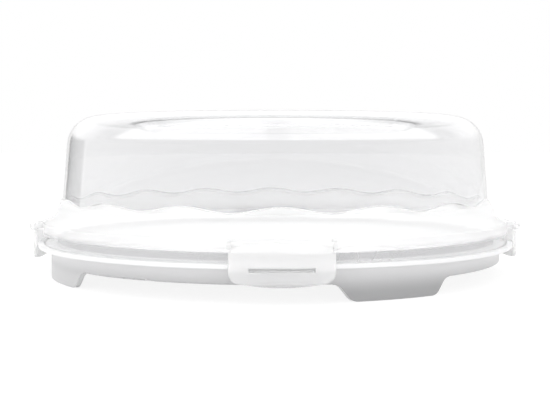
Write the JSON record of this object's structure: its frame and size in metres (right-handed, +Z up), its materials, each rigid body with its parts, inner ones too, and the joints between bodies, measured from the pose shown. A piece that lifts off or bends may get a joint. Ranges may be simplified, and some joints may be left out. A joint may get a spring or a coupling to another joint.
{
  "type": "cake carrier",
  "caption": "Round cake carrier with a footed white tray, a clear domed lid with a scalloped step, and fold-down side clips that lock the lid to the tray's rim.",
  "frame": {"origin": "middle of the footprint, at the underside of the feet", "axes": "+Z up through the lid, -Y towards the front clip, +X towards the right clip"},
  "size_m": [0.3364, 0.3364, 0.1091],
  "materials": {
    "tray_white": "satin moulded white",
    "lid_clear": "clear polished",
    "clip_frosted": "translucent frosted"
  },
  "bodies": {
    "tray": {"base_tray": "tray_white", "rear_clip": "clip_frosted"},
    "lid": {"lid_skirt": "lid_clear", "lid_dome": "lid_clear"},
    "clip_front": {"front_clip": "clip_frosted", "front_clip_hook": "clip_frosted"},
    "clip_right": {"right_clip": "clip_frosted", "right_clip_hook": "clip_frosted"},
    "clip_left": {"left_clip": "clip_frosted", "left_clip_hook": "clip_frosted"}
  },
  "joints": [
    {"name": "lid_hinge", "type": "hinge", "parent": "tray", "child": "lid", "pos_m": [0, 0.1652, 0.0337], "axis": [-1, 0, 0], "range_deg": [0, 100], "deforming": ["front_clip_hook", "right_clip_hook", "left_clip_hook"]},
    {"name": "front_clip_hinge", "type": "hinge", "parent": "lid", "child": "clip_front", "pos_m": [0, -0.1652, 0.0337], "axis": [-1, 0, 0], "range_deg": [0, 120]},
    {"name": "right_clip_hinge", "type": "hinge", "parent": "lid", "child": "clip_right", "pos_m": [0.1652, 0, 0.0337], "axis": [0, -1, 0], "range_deg": [0, 120]},
    {"name": "left_clip_hinge", "type": "hinge", "parent": "lid", "child": "clip_left", "pos_m": [-0.1652, 0, 0.0337], "axis": [0, 1, 0], "range_deg": [0, 120]}
  ]
}
